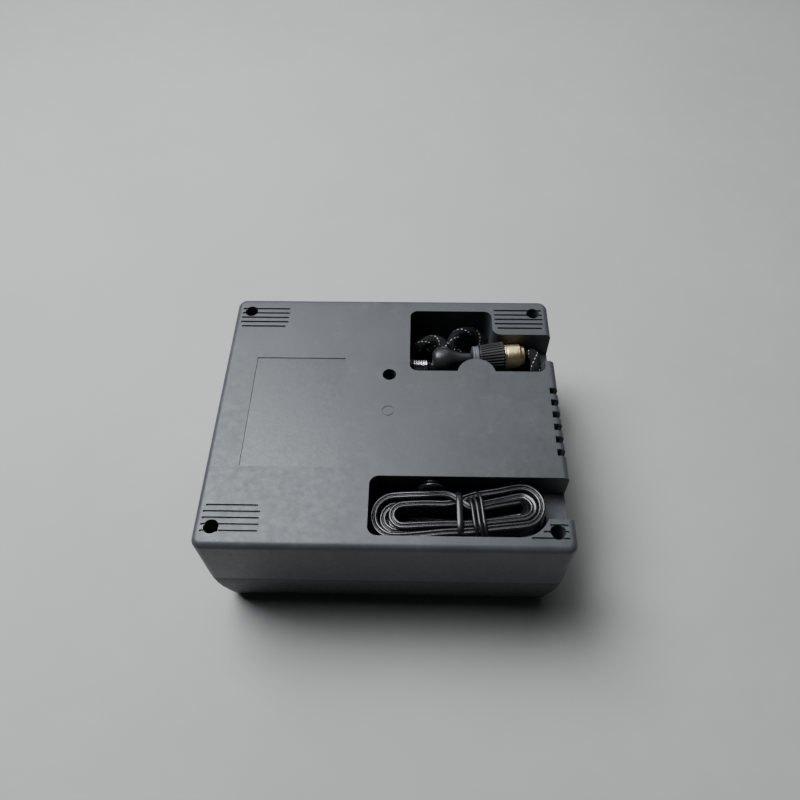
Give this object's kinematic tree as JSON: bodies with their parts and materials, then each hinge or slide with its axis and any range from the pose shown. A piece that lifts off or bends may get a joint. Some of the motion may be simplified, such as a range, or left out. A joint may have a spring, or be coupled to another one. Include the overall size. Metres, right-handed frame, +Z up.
{
  "type": "portable tyre inflator",
  "caption": "Box-shaped 12 V tyre inflator lying underside up, with its braided air hose and chuck and its lead and plug stowed in two open pockets.",
  "frame": {"origin": "middle of the flat face that the case rests on, which is its top when it is in use", "axes": "+X along the long side towards the side with the cooling slots, +Y across the case, +Z up out of the underside with the two storage pockets"},
  "size_m": [0.19, 0.164, 0.08],
  "materials": {
    "case_base": "fine matte grain",
    "case_top": "fine matte grain",
    "steel": "zinc plated",
    "black_plastic": "satin",
    "chrome": "polished",
    "brass": "turned",
    "dial": "printed",
    "red_plastic": "gloss",
    "lens": "clear",
    "aluminium": "die cast",
    "nylon": "moulded",
    "motor_steel": "rolled",
    "ferrite": "sintered",
    "copper": "drawn copper",
    "rubber": "moulded",
    "hose": "braided with pale flecks",
    "boot": "satin",
    "collar": "satin",
    "grip": "knurled",
    "lead": "glossy vinyl",
    "tie": "gloss"
  },
  "bodies": {
    "case": {"base_cover": "case_base", "top_housing": "case_top", "case_screws": "steel", "gauge_case": "black_plastic", "gauge_tube": "brass", "gauge_dial": "dial", "gauge_lens": "lens", "gauge_bezel": "chrome", "switch_frame": "black_plastic", "switch_contacts": "brass", "pump_frame": "aluminium", "frame_screws": "steel", "motor_can": "motor_steel", "motor_endcap": "black_plastic", "motor_magnets": "ferrite", "motor_brushes": "ferrite", "pump_cylinder": "aluminium", "cylinder_head": "aluminium", "reed_valve": "steel", "head_screws": "steel", "air_tee": "brass", "pump_hose": "rubber", "gauge_hose": "rubber", "inner_wires": "lead", "hose_gland": "black_plastic", "hose_spring": "chrome", "air_hose": "hose", "chuck_boot": "boot", "chuck_collar": "collar", "chuck_pin": "brass", "lead_grommet": "rubber", "lead_tube": "lead", "lead_hank": "lead", "lead_tail": "lead", "tie_left": "tie", "tie_right": "tie", "plug_body": "black_plastic", "plug_nose": "black_plastic", "plug_spring": "steel"},
    "gauge_needle": {"gauge_needle": "red_plastic"},
    "switch_rocker": {"switch_rocker": "red_plastic"},
    "crank": {"crank_gear": "nylon", "crank_shaft": "steel", "crank_pin": "steel"},
    "rotor": {"armature_core": "motor_steel", "armature_winding": "copper", "commutator": "copper", "motor_shaft": "steel", "pinion": "steel"},
    "piston": {"piston_rod": "aluminium", "rod_bearing": "steel", "piston_cup": "rubber"},
    "chuck": {"chuck_grip": "grip", "chuck_nut": "brass", "chuck_washer": "rubber"},
    "plug_tip": {"plug_tip": "steel", "plug_fuse": "lens"},
    "contact_far": {"plug_contact_far": "steel"},
    "contact_near": {"plug_contact_near": "steel"}
  },
  "joints": [
    {"name": "needle_turn", "type": "hinge", "parent": "case", "child": "gauge_needle", "pos_m": [-0.058, -0.042, 0.0055], "axis": [0, 0, 1], "range_deg": [0, 270]},
    {"name": "switch_rock", "type": "hinge", "parent": "case", "child": "switch_rocker", "pos_m": [-0.073, 0.042, 0.005], "axis": [0, 1, 0], "range_deg": [-14, 0]},
    {"name": "crank_spin", "type": "hinge", "parent": "case", "child": "crank", "pos_m": [-0.024, -0.008, 0.03], "axis": [1, 0, 0], "continuous": true},
    {"name": "rotor_spin", "type": "hinge", "parent": "case", "child": "rotor", "pos_m": [-0.024, -0.008, 0.054], "axis": [1, 0, 0], "continuous": true},
    {"name": "piston_slide", "type": "slide", "parent": "case", "child": "piston", "axis": [0, 1, 0], "range_m": [-0.014, 0]},
    {"name": "chuck_spin", "type": "hinge", "parent": "case", "child": "chuck", "pos_m": [0.0294, 0.0422, 0.0708], "axis": [0.9972, 0.075, 0], "continuous": true},
    {"name": "plug_tip_press", "type": "slide", "parent": "case", "child": "plug_tip", "axis": [1, 0, 0], "range_m": [0, 0.002], "stiffness_N_per_m": 800},
    {"name": "contact_far_press", "type": "slide", "parent": "case", "child": "contact_far", "axis": [0, -1, 0], "range_m": [0, 0.0012], "stiffness_N_per_m": 800},
    {"name": "contact_near_press", "type": "slide", "parent": "case", "child": "contact_near", "axis": [0, 1, 0], "range_m": [0, 0.0012], "stiffness_N_per_m": 800}
  ],
  "couplings": [
    {"joint": "crank_spin", "follows": "rotor_spin", "ratio": -0.25}
  ]
}
